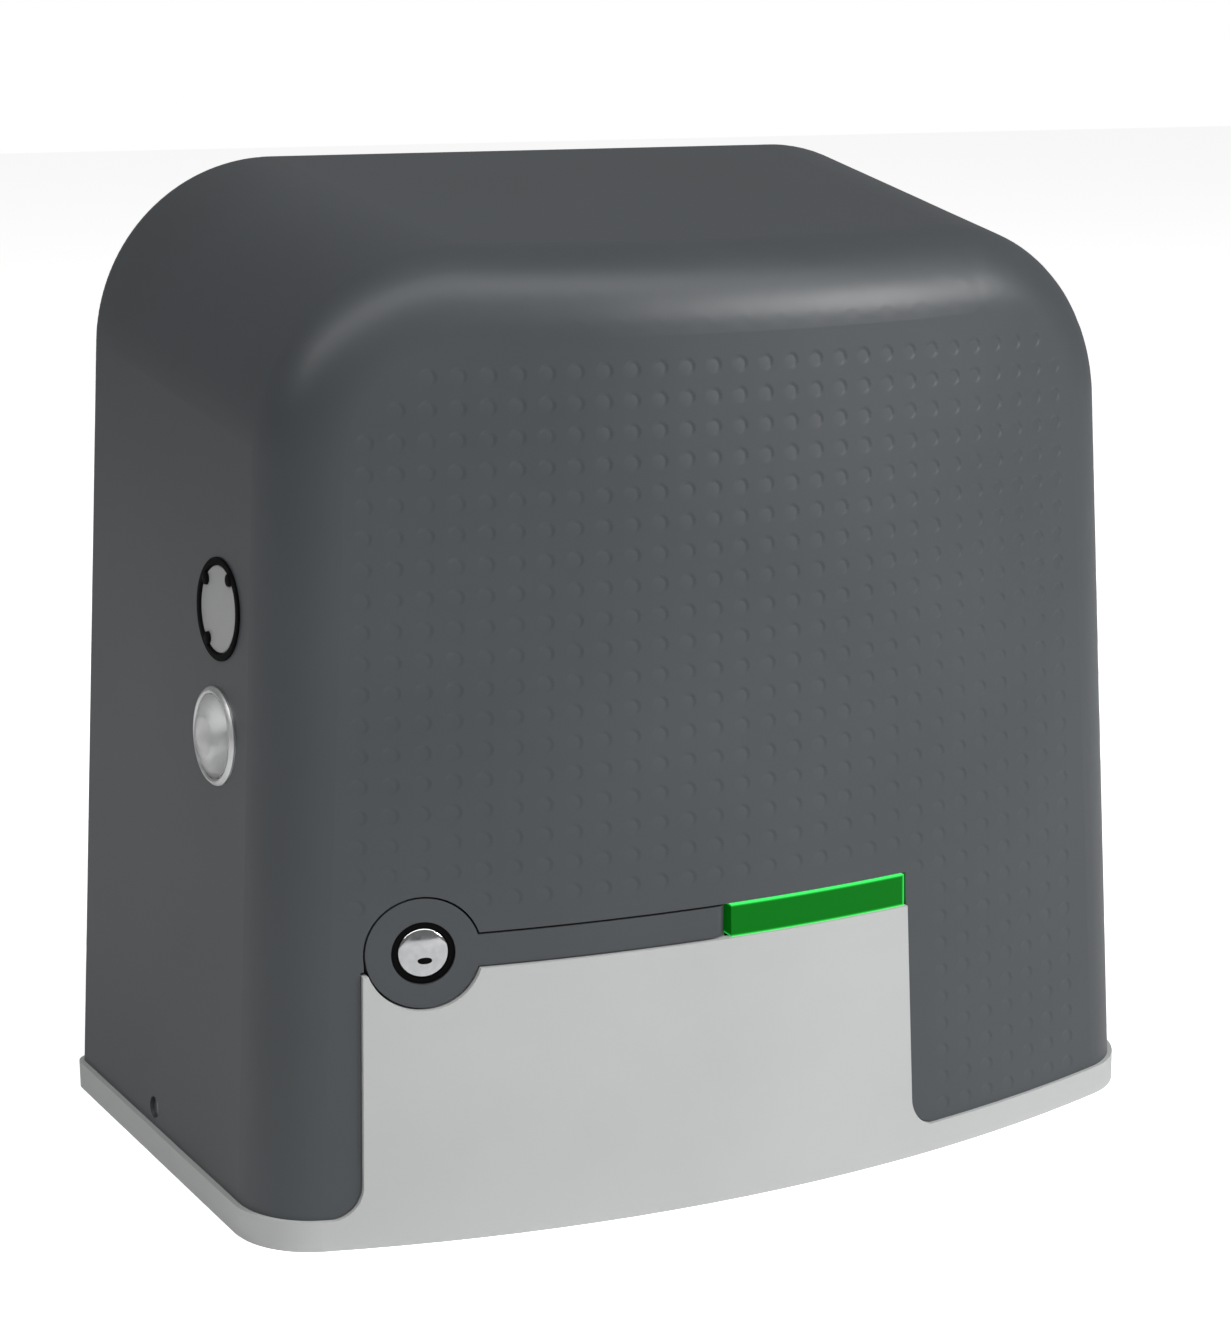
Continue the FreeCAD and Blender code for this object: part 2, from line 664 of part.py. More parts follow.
make_lever()
make_lock()
make_catch()
make_light()
part(cylinder("sizes.pin_radius", value("sizes.row_top") - PIN_LOW, (PIVOT_X, PIVOT_Y, PIN_LOW)), "lever_pin")


# ---------------------------------------------------------------- release slide and clutch rod

SLIDE_FRONT = PIVOT_Y + 4.9
SLIDE_BACK = PIVOT_Y + 12
SLIDE_THIN = PIVOT_Y + 7.2
SLIDE_LOW = "sizes.axis_height - 4"
SLIDE_TALL = 8
SLIDE_TRAVEL = value("sizes.finger_reach") * math.sqrt(2)
RAMP = value("sizes.release_stroke") / SLIDE_TRAVEL


def make_slide():
    body = new_body("release_slide")
    notch = PIVOT_X + value("sizes.finger_reach") / math.sqrt(2)
    half = value("sizes.finger_tip") + 0.4
    sketch = sketch_on(body, "XY_Plane", Placement(Vector(0, 0, value(SLIDE_LOW)), Rotation()))
    ramp_start, ramp_end = -6, 16
    add_polygon(sketch, [
        (-60, SLIDE_THIN), (-22, SLIDE_THIN), (-22, SLIDE_FRONT), (notch - half, SLIDE_FRONT),
        (notch - half, PIVOT_Y + 8.5), (notch + half, PIVOT_Y + 8.5), (notch + half, SLIDE_FRONT),
        (6, SLIDE_FRONT), (6, SLIDE_THIN), (40, SLIDE_THIN), (40, SLIDE_BACK), (ramp_end, SLIDE_BACK),
        (ramp_end, SLIDE_BACK + RAMP * (ramp_end - ramp_start)), (ramp_start, SLIDE_BACK), (-60, SLIDE_BACK)])
    pad(body, sketch, SLIDE_TALL)


def make_guides():
    """two posts of the base, each with a window that the slide runs in"""
    gap = 0.3
    low = value(SLIDE_LOW)
    floor = value("sizes.floor_thick")
    guides = []
    for left in (-58, 24):
        post = box(9, SLIDE_BACK - SLIDE_THIN + 5, low + SLIDE_TALL + 3 - floor, (left, SLIDE_THIN - 2, floor))
        window = box(20, SLIDE_BACK - SLIDE_THIN + 2 * gap, SLIDE_TALL + 2 * gap,
                     (left - 5, SLIDE_THIN - gap, low - gap))
        guides.append(cut(post, window))
    part(group(*guides), "slide_guides")


def make_rod():
    tip = SLIDE_BACK + RAMP * 6 + 0.15
    rod = cylinder("sizes.rod_radius", 60 - tip, (0, tip - 20, "sizes.axis_height"), "y")
    turn = Rotation(Vector(0, 0, 1), math.degrees(math.atan(RAMP)))
    corner = Vector(0, tip, 0) + turn.multVec(Vector(-20, -30, 0))
    slant = box(40, 30, 20, (corner.x, corner.y, value("sizes.axis_height") - 10), turn)
    part(cut(rod, slant), "clutch_rod")


make_slide()
make_guides()
make_rod()


# ---------------------------------------------------------------- gear train

AXIS = value("sizes.axis_height")
WHEEL_Y = value("sizes.wheel_depth")
WORM_X = -(value("sizes.worm_module * sizes.wheel_teeth / 2") + value("sizes.worm_radius"))


def involute(angle):
    return math.tan(angle) - angle


def tooth_flank(module, teeth, radii, thinning):
    """half angle of a 20 degree tooth at each radius"""
    pitch = module * teeth / 2
    base_circle = pitch * math.cos(math.radians(20))
    half_pitch = (math.pi * module / 2 - thinning) / (2 * pitch)
    angles = []
    for radius in radii:
        pressure = math.acos(min(1.0, base_circle / radius))
        angles.append(half_pitch + involute(math.radians(20)) - involute(pressure))
    return angles


def make_wheel():
    module, teeth = value("sizes.worm_module"), int(value("sizes.wheel_teeth"))
    pitch = module * teeth / 2
    radii = [pitch - 1.25 * module, pitch - 0.7 * module, pitch, pitch + 0.6 * module, pitch + module]
    flank = tooth_flank(module, teeth, radii, 0.45)
    width = value("sizes.wheel_width")
    lead = module / (2 * value("sizes.worm_radius"))
    wires = []
    for side in (-0.5, 0.5):
        swing = -lead * side * width / pitch
        points = []
        for tooth in range(teeth):
            middle = 2 * math.pi * (tooth + 0.5) / teeth
            for radius, half in list(zip(radii, flank)) + list(zip(radii, flank))[::-1]:
                points.append((radius, middle, half))
        corners = []
        for number, (radius, middle, half) in enumerate(points):
            sign = -1 if number % (2 * len(radii)) < len(radii) else 1
            angle = math.pi + swing + middle + sign * half
            corners.append(Vector(radius * math.cos(angle), WHEEL_Y + side * width, radius * math.sin(angle)))
        wires.append(Part.makePolygon(corners + corners[:1]))
    blank = Part.makeLoft(wires, True, True)
    bore = Part.makeCylinder(13, 60, Vector(0, 0, 0), Vector(0, 1, 0))
    shape = blank.cut(bore)
    shape.translate(Vector(0, 0, AXIS))
    return solid(shape, "worm_wheel")


def make_worm():
    module = value("sizes.worm_module")
    pitch_radius = value("sizes.worm_radius")
    lead = math.pi * module
    turns = 7
    root, top = pitch_radius - 1.25 * module, pitch_radius + module
    slope = math.tan(math.radians(20))
    half = (lead / 2 - 0.45) / 2
    low = AXIS - turns * lead / 2
    helix = Part.makeHelix(lead, turns * lead, root)
    profile = Part.makePolygon([Vector(root - 0.4, 0, -half - (pitch_radius - root + 0.4) * slope),
                                Vector(top, 0, -half + module * slope), Vector(top, 0, half - module * slope),
                                Vector(root - 0.4, 0, half + (pitch_radius - root + 0.4) * slope),
                                Vector(root - 0.4, 0, -half - (pitch_radius - root + 0.4) * slope)])
    thread = Part.Wire(helix).makePipeShell([profile], True, True)
    # a whole number and a half of turns puts the thread's middle at the wheel's height on the wheel's side
    thread.rotate(Vector(0, 0, 0), Vector(0, 0, 1), 180 if turns % 2 else 0)
    thread.translate(Vector(0, 0, low))
    core = Part.makeCylinder(root, turns * lead + 10, Vector(0, 0, low - 5))
    for radius, start, end in ((5, 44, low - 5), (5, low - 5 + turns * lead + 10, 254)):
        core = core.fuse(Part.makeCylinder(radius, end - start, Vector(0, 0, start)))
    shape = core.fuse(thread)
    shape.translate(Vector(WORM_X, WHEEL_Y, 0))
    return solid(shape.removeSplitter(), "worm_shaft")


def make_pinion():
    body = new_body("output_pinion")
    module, teeth = value("sizes.pinion_module"), int(value("sizes.pinion_teeth"))
    pitch = module * teeth / 2
    tip, root = pitch + module, pitch - 1.25 * module
    centre = Placement(Vector(0, AXIS, -value("sizes.pinion_start")), Rotation())
    disc = sketch_on(body, "XZ_Plane", centre)
    add_circle(disc, 0, 0, tip)
    add_circle(disc, 0, 0, 11)
    pad(body, disc, "sizes.pinion_width", reverse=True)
    radii = [28.3, 29.2, 30, 31, 32, 33, tip]
    flank = tooth_flank(module, teeth, radii, 0.2)
    gap = [math.pi / teeth - half for half in flank]
    side = [(radius * math.sin(angle), radius * math.cos(angle)) for radius, angle in zip(radii, gap)]
    foot = (root * math.sin(gap[0] * 0.8), root * math.cos(gap[0] * 0.8))
    over = (side[-1][0] * 1.1, side[-1][1] + 3)
    right = [foot] + side + [over]
    left = [(-across, up) for across, up in right][::-1]
    space = sketch_on(body, "XZ_Plane", centre)
    points = [Vector(across, up, 0) for across, up in left + right]
    for index, start in enumerate(points):
        space.addGeometry(Part.LineSegment(start, points[(index + 1) % len(points)]), False)
    cutter = pocket(body, space)
    pattern = body.newObject("PartDesign::PolarPattern", "PolarPattern")
    pattern.Originals = [cutter]
    pattern.Axis = (space, ["N_Axis"])
    pattern.Angle = 360
    pattern.setExpression("Occurrences", "sizes.pinion_teeth")
    finish(body, pattern)


def make_shafts():
    seat = value("sizes.shaft_radius")
    end = value("sizes.pinion_start + sizes.pinion_width")
    bore = value("sizes.rod_radius") + 0.1
    part(turned([(60, 0), (60, bore), (-2, bore), (-2, 10), (14, 10), (14, 13), (34, 13), (34, seat),
                 (end - 26, seat), (end - 26, 11), (end, 11), (end, 4), (end - 18, 4), (end - 18, 0)],
                (0, 0, AXIS)), "output_shaft")
    part(group(turned(ring(20, 10.05, 2, 12), (0, 0, AXIS)),
               turned(ring(24, seat + 0.05, 36, 50), (0, 0, AXIS))), "shaft_bearings")
    part(turned([(62, seat + 0.08), (62, 20), (69, 20), (69, 16), (66, 14), (66, seat + 0.08)],
                (0, 0, AXIS)), "oil_seal")
    part(turned(ring(16, 4, end, end + 2.2), (0, 0, AXIS)), "pinion_washer")
    shank = cylinder(4, 17, (0, end + 2.2 - 17, AXIS), "y")
    head = hexagon(6.5, value("sizes.overall_depth / 2") - end - 2.2, end + 2.2)
    part(fuse(shank, head), "pinion_screw")
    part(group(turned(ring(13, 5.05, 46, 55), (WORM_X, WHEEL_Y, 0), "z"),
               turned(ring(13, 5.05, 114, 123), (WORM_X, WHEEL_Y, 0), "z")), "worm_bearings")


def hexagon(half_flats, length, start):
    """bolt head on the output axis"""
    radius = half_flats / math.cos(math.pi / 6)
    corners = [Vector(radius * math.cos(math.radians(60 * turn)), start, AXIS + radius * math.sin(math.radians(60 * turn)))
               for turn in range(7)]
    feature = doc.addObject("Part::Feature", "Hexagon")
    feature.Shape = Part.Face(Part.makePolygon(corners)).extrude(Vector(0, length, 0))
    return feature


make_wheel()
make_worm()
make_pinion()
make_shafts()


# ---------------------------------------------------------------- gearbox

def make_gearbox():
    floor = value("sizes.floor_thick")
    drum = cylinder(43, 54, (0, 0, AXIS), "y")
    boss = cylinder(28, 16, (0, 54, AXIS), "y")
    back = fuse(cylinder(46.5, 12, (0, 54, AXIS), "y"), box(93, 12, AXIS - 9.6, (-46.5, 54, 9.6)))
    tube = cylinder(19, "sizes.can_bottom - 38", (WORM_X, WHEEL_Y, 38))
    plate = cylinder("sizes.can_radius", 6, (WORM_X, WHEEL_Y, "sizes.can_bottom - 6"))
    foot = box(80, 50, AXIS - 20 - floor, (-40, 2, floor))
    flange = box(120, 54, 8, (-60, 0, floor))
    ribs = [box(20, 5, 34, (side, 24, floor)) for side in (-58, 38)]
    chamber = cylinder(39.5, 34 + 1, (0, -1, AXIS), "y")
    bearing = cylinder(24, 14, (0, 36, AXIS), "y")
    clear = cylinder(13.4, 40, (0, 33, AXIS), "y")
    seal = cylinder(20, 10, (0, 62, AXIS), "y")
    worm = cylinder(12, 70, (WORM_X, WHEEL_Y, 50))
    low_seat = cylinder(13, 9, (WORM_X, WHEEL_Y, 46))
    low_clear = cylinder(6, 4, (WORM_X, WHEEL_Y, 43))
    high_seat = cylinder(13, 30, (WORM_X, WHEEL_Y, 114))
    screws = [cylinder(FLANGE_RADIUS, 12, (side * FLANGE_ACROSS, depth, floor - 1))
              for side in (-1, 1) for depth in FLANGE_SCREWS]
    holes = [cylinder(1.6, 10, (x, -1, z), "y") for x, z in cover_screw_places()]
    casting = fuse(drum, boss, back, tube, plate, foot, flange, *ribs)
    part(cut(casting, chamber, bearing, clear, seal, worm, low_seat, low_clear, high_seat, *(screws + holes)),
         "gearbox_housing")
    plate = turned([(-6, 10.6), (-6, 43), (0, 43), (0, 39), (1, 39), (1, 24), (13, 24), (13, 20), (2, 20),
                    (2, 10.6)], (0, 0, AXIS))
    screw_holes = [cylinder(1.6, 10, (x, -7, z), "y") for x, z in cover_screw_places()]
    part(cut(plate, *screw_holes), "gearbox_cover")
    part(group(*[fuse(cylinder(1.6, 14, (x, -6, z), "y"), cylinder(2.7, 2.6, (x, -8.6, z), "y"))
                 for x, z in cover_screw_places()]), "gearbox_screws")
    part(group(*[fuse(cylinder(FLANGE_RADIUS, 11, (side * FLANGE_ACROSS, depth, 2)),
                      cylinder(6.5, 5, (side * FLANGE_ACROSS, depth, 13)))
                 for side in (-1, 1) for depth in FLANGE_SCREWS]), "flange_screws")


def cover_screw_places():
    return [(41.25 * math.cos(math.radians(60 * turn + 30)), AXIS + 41.25 * math.sin(math.radians(60 * turn + 30)))
            for turn in range(6)]


make_gearbox()


# ---------------------------------------------------------------- motor

def make_motor():
    can, low = value("sizes.can_radius"), value("sizes.can_bottom")
    high = low + value("sizes.can_height")
    at = (WORM_X, WHEEL_Y, 0)
    part(turned([(low, 8), (low, can), (high, can), (high, can - 3), (low + 3, can - 3), (low + 3, 8)], at, "z"),
         "motor_can")
    part(turned([(high, 5.3), (high, can), (high + 6, can), (high + 10, can - 6), (high + 10, 5.3)], at, "z"),
         "motor_end_bell")
    part(turned(ring(21, 5, low + 18, low + 73), at, "z"), "armature")
    part(turned(ring(9, 5, low + 76, low + 92), at, "z"), "commutator")
    magnets = turned(ring(can - 3, 22.5, low + 16, low + 75), at, "z")
    slot = box(80, 14, 70, (WORM_X - 40, WHEEL_Y - 7, low + 12))
    part(cut(magnets, slot), "field_magnets")
    holder = turned(ring(can - 3, 20, low + 78, low + 90), at, "z")
    brushes = [box(10.4, 6, 8, (WORM_X + side, WHEEL_Y - 3, low + 80)) for side in (9.2, -19.6)]
    part(group(holder), "brush_ring")
    part(group(*brushes), "brushes")
    part(turned(ring(15, 5, high + 14, high + 16), at, "z"), "encoder_disc")


make_motor()


# ---------------------------------------------------------------- electrics

BOARD_Y = -59


def make_electrics():
    floor = value("sizes.floor_thick")
    tray = box(190, 3, 132, (-95, -56, 104))
    rims = [box(190, 8, 3, (-95, -64, 104)), box(3, 8, 132, (-95, -64, 104)), box(3, 8, 132, (92, -64, 104))]
    legs = [box(8, 12, 132 - floor, (side - 4, -53, floor)) for side in (-84, 84)]
    feet = [box(22, 14, 4, (side - 11, -53, floor)) for side in (-84, 84)]
    studs = [cylinder(3.5, 3, (x, BOARD_Y, z), "y") for x in (-76, 76) for z in (116, 224)]
    part(fuse(tray, *(rims + legs + feet + studs)), "board_tray")
    part(box(170, 1.6, 120, (-85, BOARD_Y - 1.6, 110)), "control_board")
    face = BOARD_Y - 1.6
    part(group(*[box(13, 12, 12, (-78 + 17 * place, face - 12, 112)) for place in range(8)]), "terminal_blocks")
    part(group(*[box(19, 16, 15.5, (x, face - 16, z)) for x in (-70, -44) for z in (150, 175)]), "relays")
    fins = [box(2, 18, 46, (20 + 6 * place, face - 21, 150)) for place in range(6)]
    part(fuse(box(32, 3, 46, (20, face - 3, 150)), *fins), "heat_sink")
    part(group(*[fuse(cylinder(3, 22, (x, face - 7, 206), "x"), box(22, 7, 6, (x, face - 7, 203)))
                 for x in (-70, -40)]), "fuse_holders")
    part(box(40, 8, 16, (0, face - 8, 205)), "display_module")
    core = [(0, 14), (0, 33), (4, 38), (36, 38), (40, 33), (40, 14)]
    part(turned(core, (TOROID[0], TOROID[1], floor), "z"), "transformer")
    clamp = turned([(40, 3), (40, 26), (42, 26), (42, 3)], (TOROID[0], TOROID[1], floor), "z")
    part(clamp, "transformer_clamp")
    part(fuse(cylinder(3, 46, (TOROID[0], TOROID[1], 2)), cylinder(5.5, 4, (TOROID[0], TOROID[1], floor + 42))),
         "transformer_bolt")
    part(group(*[cylinder(LEVELLING_RADIUS, 20, (side * across, depth, 0.5))
                 for side in (-1, 1) for across, depth in LEVELLING]), "levelling_screws")


make_electrics()


# ---------------------------------------------------------------- left side wall and cover screws

def make_side_fittings():
    for height, ring_name in ((PLUG_HEIGHT, "plug_ring"), (LENS_HEIGHT, "lens_ring")):
        part(turned_at([(0.02, 12.2), (0.02, 15.2), (0.8, 15.2), (1.4, 14.6), (1.4, 12.2)],
                       side_place(LENS_DEPTH, height)), ring_name)
    part(turned_at([(1.6, 0), (1.6, 11.4), (1.0, 12.1), (-9, 12.1), (-9, 10.6), (-1.5, 10.6), (-1.5, 0)],
                   side_place(LENS_DEPTH, PLUG_HEIGHT)), "blanking_plug")
    dome = [(5.2, 0), (4.9, 3), (4.1, 6), (2.9, 9), (1.2, 12.1), (-9, 12.1), (-9, 10.8), (0.6, 10.8), (3.2, 5.6),
            (3.9, 0)]
    part(turned_at(dome, side_place(LENS_DEPTH, LENS_HEIGHT)), "sensor_lens")
    part(turned_at([(-9, 0), (-9, 14), (-10.6, 14), (-10.6, 0)], side_place(LENS_DEPTH, LENS_HEIGHT)),
         "sensor_board")
    screw = [(-1.2, 0), (-1.2, 3.3), (-3.3, 3.3), (-3.3, COVER_SCREW_RADIUS), (-15, COVER_SCREW_RADIUS), (-15, 0)]
    left = side_place(SCREW_DEPTH, SCREW_HEIGHT)
    part(group(turned_at(screw, left), turned_at(screw, mirror_place(left))), "cover_screws")


make_side_fittings()


# ---------------------------------------------------------------- checks and files

doc.recompute()
for feature in doc.Objects:
    if "Invalid" in feature.State or "Error" in feature.State:
        raise RuntimeError("%s (%s) failed" % (feature.Name, feature.Label))
names = [feature.Label for feature in PARTS]
if len(set(names)) != len(names):
    raise RuntimeError("two sub-parts share a name")
for feature in PARTS:
    if feature.Shape.isNull() or not feature.Shape.isValid() or not feature.Shape.Solids:
        raise RuntimeError("%s has no valid shape" % feature.Label)
os.makedirs("parts", exist_ok=True)
for feature in PARTS:
    feature.Shape.exportStep("parts/%s.step" % feature.Label)
print("%d sub-parts written" % len(PARTS))
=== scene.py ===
import json
import math
import bpy
import numpy as np
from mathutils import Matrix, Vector, geometry


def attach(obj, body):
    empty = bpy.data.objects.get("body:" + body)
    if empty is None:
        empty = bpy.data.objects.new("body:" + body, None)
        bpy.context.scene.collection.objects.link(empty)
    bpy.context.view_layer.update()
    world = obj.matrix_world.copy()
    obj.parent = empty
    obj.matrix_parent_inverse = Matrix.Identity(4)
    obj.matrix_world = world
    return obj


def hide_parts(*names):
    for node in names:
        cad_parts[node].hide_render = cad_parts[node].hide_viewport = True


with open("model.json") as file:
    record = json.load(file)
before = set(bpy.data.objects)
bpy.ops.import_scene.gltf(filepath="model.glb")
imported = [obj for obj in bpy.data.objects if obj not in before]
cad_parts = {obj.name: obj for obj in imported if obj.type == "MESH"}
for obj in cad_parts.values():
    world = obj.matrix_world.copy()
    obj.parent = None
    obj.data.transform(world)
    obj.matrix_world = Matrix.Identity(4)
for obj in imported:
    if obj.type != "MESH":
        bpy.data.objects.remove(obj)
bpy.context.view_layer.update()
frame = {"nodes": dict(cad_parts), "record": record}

nodes = frame["nodes"]
mm = 0.001
print("frame loaded with", len(nodes), "nodes")


# ---- helpers

def linear(hexText):
    """sRGB hex colour as linear RGBA"""
    parts = [int(hexText[i:i + 2], 16) / 255 for i in (1, 3, 5)]
    return [c / 12.92 if c <= 0.04045 else ((c + 0.055) / 1.055) ** 2.4 for c in parts] + [1.0]


def addNode(tree, kind, inputs=None, **settings):
    """adds a node: settings are its properties, inputs are numbers, colours or sockets to link"""
    item = tree.nodes.new(kind)
    for key, setting in settings.items():
        setattr(item, key, setting)
    for key, given in (inputs or {}).items():
        socket = item.inputs[key]
        if isinstance(given, bpy.types.NodeSocket):
            tree.links.new(given, socket)
        else:
            socket.default_value = given
    return item


def newMaterial(name):
    """empty material with its shader and the object's own coordinates in metres"""
    material = bpy.data.materials.new(name)
    material.use_nodes = True
    tree = material.node_tree
    tree.nodes.clear()
    shader = addNode(tree, "ShaderNodeBsdfPrincipled")
    addNode(tree, "ShaderNodeOutputMaterial", {"Surface": shader.outputs[0]})
    place = addNode(tree, "ShaderNodeTexCoord").outputs["Object"]
    return material, tree, shader, place


def colourSpread(tree, factor, low, high, fromLow=0.3, fromHigh=0.7):
    """colour that runs from low to high as the factor does"""
    ramp = addNode(tree, "ShaderNodeValToRGB", {"Fac": factor})
    ramp.color_ramp.elements[0].position = fromLow
    ramp.color_ramp.elements[1].position = fromHigh
    ramp.color_ramp.elements[0].color = linear(low)
    ramp.color_ramp.elements[1].color = linear(high)
    return ramp.outputs["Color"]


def meshPiece(name, verts, faces, body, material, replaced=(), normals=None):
    """object from arrays; normals are one per face corner"""
    mesh = bpy.data.meshes.new(name)
    mesh.from_pydata(np.asarray(verts).tolist(), [], np.asarray(faces).tolist())
    mesh.shade_smooth()
    if normals is not None:
        mesh.normals_split_custom_set(np.asarray(normals).tolist())
    mesh.materials.append(material)
    piece = bpy.data.objects.new(name, mesh)
    bpy.context.scene.collection.objects.link(piece)
    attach(piece, body)
    if replaced:
        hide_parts(*replaced)
    return piece


# ---- materials

def matt(name, dark, light, rough, grain, index=1.53):
    """
    moulded or coated surface with a spark-eroded texture: even colour, soft wide highlights and a
    very fine grain, whose size is in metres
    """
    material, tree, shader, place = newMaterial(name)
    cloud = addNode(tree, "ShaderNodeTexNoise", {"Vector": place, "Scale": 14, "Detail": 3})
    fine = addNode(tree, "ShaderNodeTexNoise", {"Vector": place, "Scale": 1 / grain, "Detail": 2})
    shader.inputs["IOR"].default_value = index
    tree.links.new(colourSpread(tree, cloud.outputs["Fac"], dark, light), shader.inputs["Base Color"])
    spread = addNode(tree, "ShaderNodeMapRange", {"Value": cloud.outputs["Fac"], "From Min": 0.3,
                                                  "From Max": 0.7, "To Min": rough - 0.03,
                                                  "To Max": rough + 0.03})
    tree.links.new(spread.outputs[0], shader.inputs["Roughness"])
    bump = addNode(tree, "ShaderNodeBump", {"Height": fine.outputs["Fac"], "Strength": 0.25,
                                            "Distance": 0.00004})
    tree.links.new(bump.outputs[0], shader.inputs["Normal"])
    return material


def metal(name, dark, light, rough, grain, stretch=(1, 1, 1)):
    """bare metal: grain is the size of its finish in metres, stretched along brushed or turned marks"""
    material, tree, shader, place = newMaterial(name)
    scaled = addNode(tree, "ShaderNodeMapping", {"Vector": place, "Scale": stretch})
    fine = addNode(tree, "ShaderNodeTexNoise", {"Vector": scaled.outputs[0], "Scale": 1 / grain,
                                                "Detail": 3})
    shader.inputs["Metallic"].default_value = 1.0
    tree.links.new(colourSpread(tree, fine.outputs["Fac"], dark, light), shader.inputs["Base Color"])
    spread = addNode(tree, "ShaderNodeMapRange", {"Value": fine.outputs["Fac"], "From Min": 0.3,
                                                  "From Max": 0.7, "To Min": rough - 0.06,
                                                  "To Max": rough + 0.06})
    tree.links.new(spread.outputs[0], shader.inputs["Roughness"])
    bump = addNode(tree, "ShaderNodeBump", {"Height": fine.outputs["Fac"], "Strength": 0.2,
                                            "Distance": 0.00005})
    tree.links.new(bump.outputs[0], shader.inputs["Normal"])
    return material


guide = {
    "middle": 85.85 * mm, "halfHeight": 4.85 * mm, "right": 50.4 * mm, "edgeWidth": 0.8 * mm,
    "faceGlow": 0.34, "edgeGlow": 1.5,
}


def litGuide():
    """
    light guide of tinted acrylic lit from behind: even green, brighter in a line along its top, bottom
    and right edges, and about half as bright on its left end, where the dimmed glow is painted shade of
    the gap beside the lever
    """
    material, tree, shader, place = newMaterial("lit tinted acrylic")
    shader.inputs["Base Color"].default_value = linear("#004a0c")
    shader.inputs["Roughness"].default_value = 0.5
    shader.inputs["IOR"].default_value = 1.2
    axes = addNode(tree, "ShaderNodeSeparateXYZ", {"Vector": place})
    off = addNode(tree, "ShaderNodeMath", {0: axes.outputs["Z"], 1: guide["middle"]},
                  operation="SUBTRACT")
    away = addNode(tree, "ShaderNodeMath", {0: off.outputs[0]}, operation="ABSOLUTE")
    ends = ((away.outputs[0], guide["halfHeight"]), (axes.outputs["X"], guide["right"]))
    shares = [addNode(tree, "ShaderNodeMapRange", {"Value": value, "From Min": end - guide["edgeWidth"],
                                                   "From Max": end}).outputs[0] for value, end in ends]
    edge = addNode(tree, "ShaderNodeMath", {0: shares[0], 1: shares[1]}, operation="MAXIMUM")
    normal = addNode(tree, "ShaderNodeNewGeometry").outputs["Normal"]
    facing = addNode(tree, "ShaderNodeSeparateXYZ", {"Vector": normal})
    # glow cut to about half on faces that look left: painted shade on the bar's end in the gap beside the
    # lever
    paintedEndShade = addNode(tree, "ShaderNodeMapRange", {"Value": facing.outputs["X"], "From Min": -1.6,
                                                 "From Max": -0.5})
    glow = addNode(tree, "ShaderNodeMapRange", {"Value": edge.outputs[0], "To Min": guide["faceGlow"],
                                                "To Max": guide["edgeGlow"]})
    seen = addNode(tree, "ShaderNodeMath", {0: glow.outputs[0], 1: paintedEndShade.outputs[0]}, operation="MULTIPLY")
    tree.links.new(seen.outputs[0], shader.inputs["Emission Strength"])
    tree.links.new(colourSpread(tree, edge.outputs[0], "#06a01c", "#3fe062", 0.3, 0.95),
                   shader.inputs["Emission Color"])
    return material


def clearPlastic():
    """polycarbonate frosted on its face: what lies behind it blurs into a bright, slightly wavy disc"""
    material, tree, shader, place = newMaterial("clear polycarbonate")
    shader.inputs["Base Color"].default_value = linear("#f2f2f2")
    shader.inputs["Roughness"].default_value = 0.42
    shader.inputs["IOR"].default_value = 1.3
    shader.inputs["Transmission Weight"].default_value = 1.0
    waves = addNode(tree, "ShaderNodeTexNoise", {"Vector": place, "Scale": 160, "Detail": 1})
    bump = addNode(tree, "ShaderNodeBump", {"Height": waves.outputs["Fac"], "Strength": 0.5,
                                            "Distance": 0.0006})
    tree.links.new(bump.outputs[0], shader.inputs["Normal"])
    return material


finishes = {
    "cover_plastic": matt("anthracite moulded ABS", "#43474a", "#484c50", 0.4, 0.45 * mm),
    "base_plastic": matt("light grey moulded ABS", "#bfc1c0", "#c5c7c6", 0.45, 0.45 * mm),
    "black_plastic": matt("black moulded nylon", "#060607", "#0b0b0c", 0.6, 0.3 * mm, 1.15),
    "light_green": litGuide(),
    "chrome_lock": metal("polished chrome plate", "#c9cacc", "#d8d9db", 0.1, 2 * mm),
    "steel": metal("turned steel", "#8f9092", "#a2a3a4", 0.3, 0.4 * mm, (1, 4, 1)),
    "zinc_steel": metal("zinc plated steel", "#a9abad", "#c2c4c5", 0.32, 1.5 * mm),
    "cast_aluminium": metal("die cast aluminium", "#9a9c9e", "#b0b2b3", 0.48, 0.9 * mm),
    "bronze": metal("machined bronze", "#a67a3c", "#b98b49", 0.33, 0.5 * mm),
    "black_can": matt("black stove enamel", "#111213", "#191a1b", 0.35, 0.6 * mm),
    "board_green": matt("solder mask on glass fibre", "#10502a", "#166434", 0.3, 0.25 * mm),
    "terminal_green": matt("green moulded nylon", "#1f8a46", "#27964e", 0.4, 0.3 * mm),
    "winding_tape": matt("amber polyester tape", "#b98f2e", "#c9a03c", 0.3, 0.8 * mm),
    "clear_lens": clearPlastic(),
    "rubber": matt("black nitrile rubber", "#161616", "#1d1d1d", 0.7, 0.3 * mm),
    "ferrite": matt("sintered ferrite", "#2b2c2e", "#353638", 0.6, 0.2 * mm),
    "reflector": metal("aluminised reflector", "#dcdddd", "#eceded", 0.42, 3 * mm),
    "plug_grey": matt("mid grey moulded ABS", "#a0a1a1", "#acadad", 0.45, 0.45 * mm),
}
nodeSlots = {part["node"]: part["material_slot"] for part in frame["record"]["subparts"]}
for nodeName, node in nodes.items():
    node.data.materials.clear()
    node.data.materials.append(finishes[nodeSlots[nodeName]])
edges = {"width": 0.5 * mm, "segments": 3, "angle": math.radians(50)}
